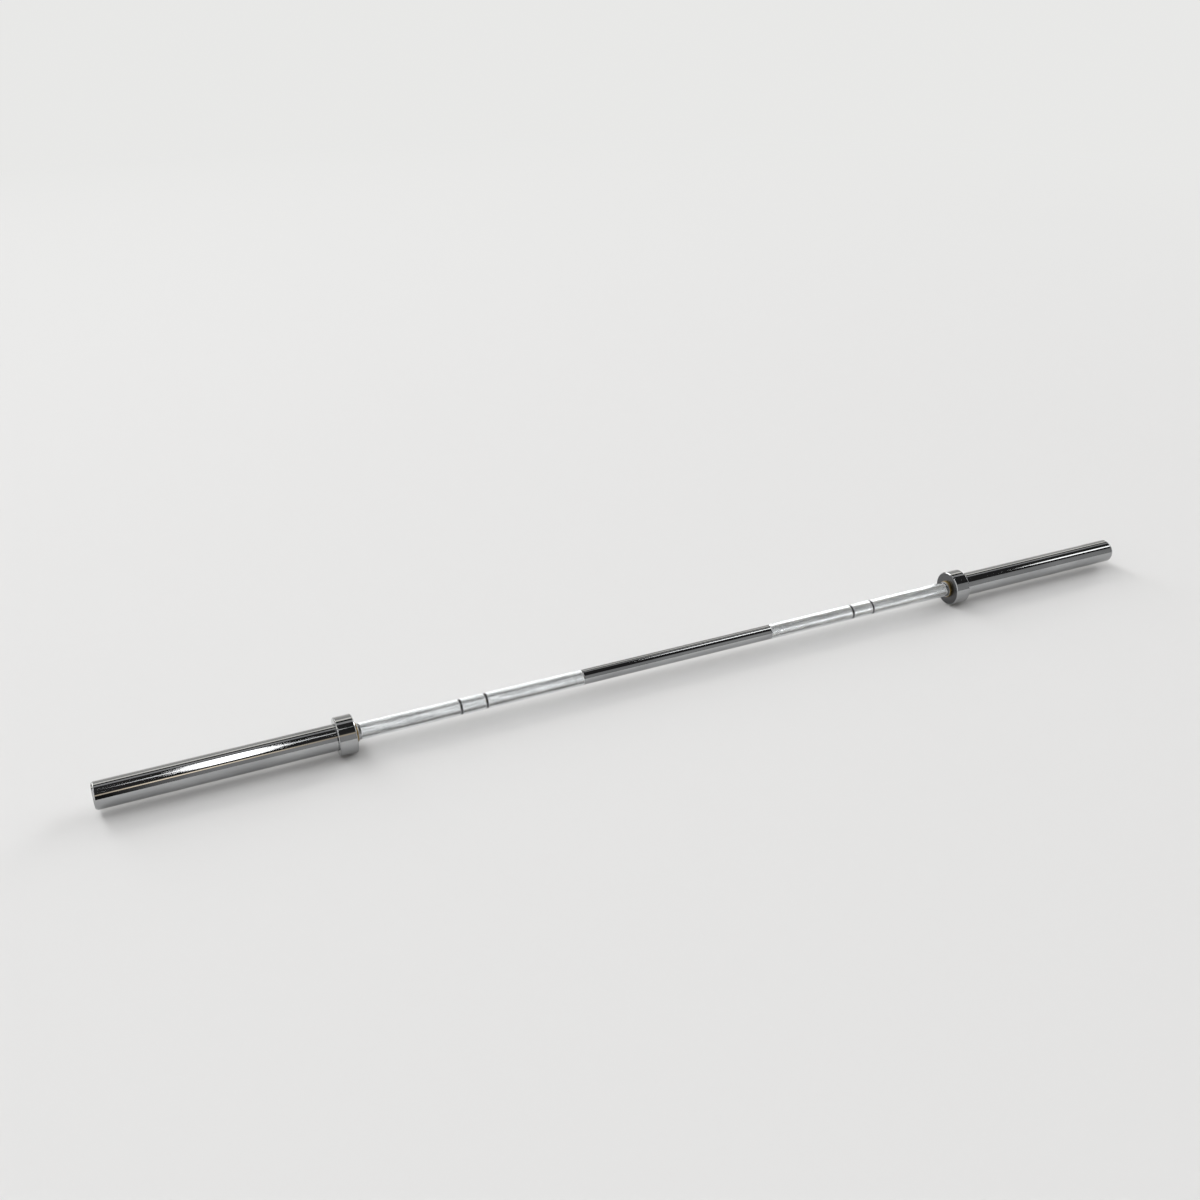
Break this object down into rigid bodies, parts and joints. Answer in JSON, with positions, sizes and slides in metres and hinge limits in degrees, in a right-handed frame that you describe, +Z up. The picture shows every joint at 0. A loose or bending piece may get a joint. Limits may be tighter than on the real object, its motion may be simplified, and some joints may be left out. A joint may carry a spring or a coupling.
{
  "type": "olympic barbell",
  "caption": "Long straight steel bar with knurled grips and ring marks; end sleeves with stop collars spin freely on bushes and carry weight plates.",
  "frame": {"origin": "the middle of the bar, on its axis", "axes": "+X along the bar towards the right sleeve, +Z up, +Y away from the viewer"},
  "size_m": [2.2, 0.072, 0.072],
  "materials": {
    "shaft_steel": "bright chrome, knurled",
    "sleeve_chrome": "polished chrome",
    "collar_chrome": "polished chrome",
    "cap_chrome": "turned chrome",
    "bush_bronze": "turned bronze",
    "washer_steel": "ground steel",
    "spring_steel": "dark oiled spring steel"
  },
  "bodies": {
    "shaft": {"shaft": "shaft_steel", "left_shoulder_washer": "washer_steel", "left_steel_thrust_washer": "washer_steel", "left_shaft_retaining_ring": "spring_steel", "right_shoulder_washer": "washer_steel", "right_steel_thrust_washer": "washer_steel", "right_shaft_retaining_ring": "spring_steel"},
    "left_sleeve": {"left_sleeve": "sleeve_chrome", "left_collar": "collar_chrome", "left_inner_bush": "bush_bronze", "left_outer_bush": "bush_bronze", "left_bronze_thrust_washer": "bush_bronze", "left_end_cap": "cap_chrome", "left_cap_retaining_ring": "spring_steel"},
    "right_sleeve": {"right_sleeve": "sleeve_chrome", "right_collar": "collar_chrome", "right_inner_bush": "bush_bronze", "right_outer_bush": "bush_bronze", "right_bronze_thrust_washer": "bush_bronze", "right_end_cap": "cap_chrome", "right_cap_retaining_ring": "spring_steel"}
  },
  "joints": [
    {"name": "left_sleeve_spin", "type": "hinge", "parent": "shaft", "child": "left_sleeve", "pos_m": [-0.88, 0, 0], "axis": [1, 0, 0], "continuous": true},
    {"name": "right_sleeve_spin", "type": "hinge", "parent": "shaft", "child": "right_sleeve", "pos_m": [0.88, 0, 0], "axis": [1, 0, 0], "continuous": true}
  ]
}
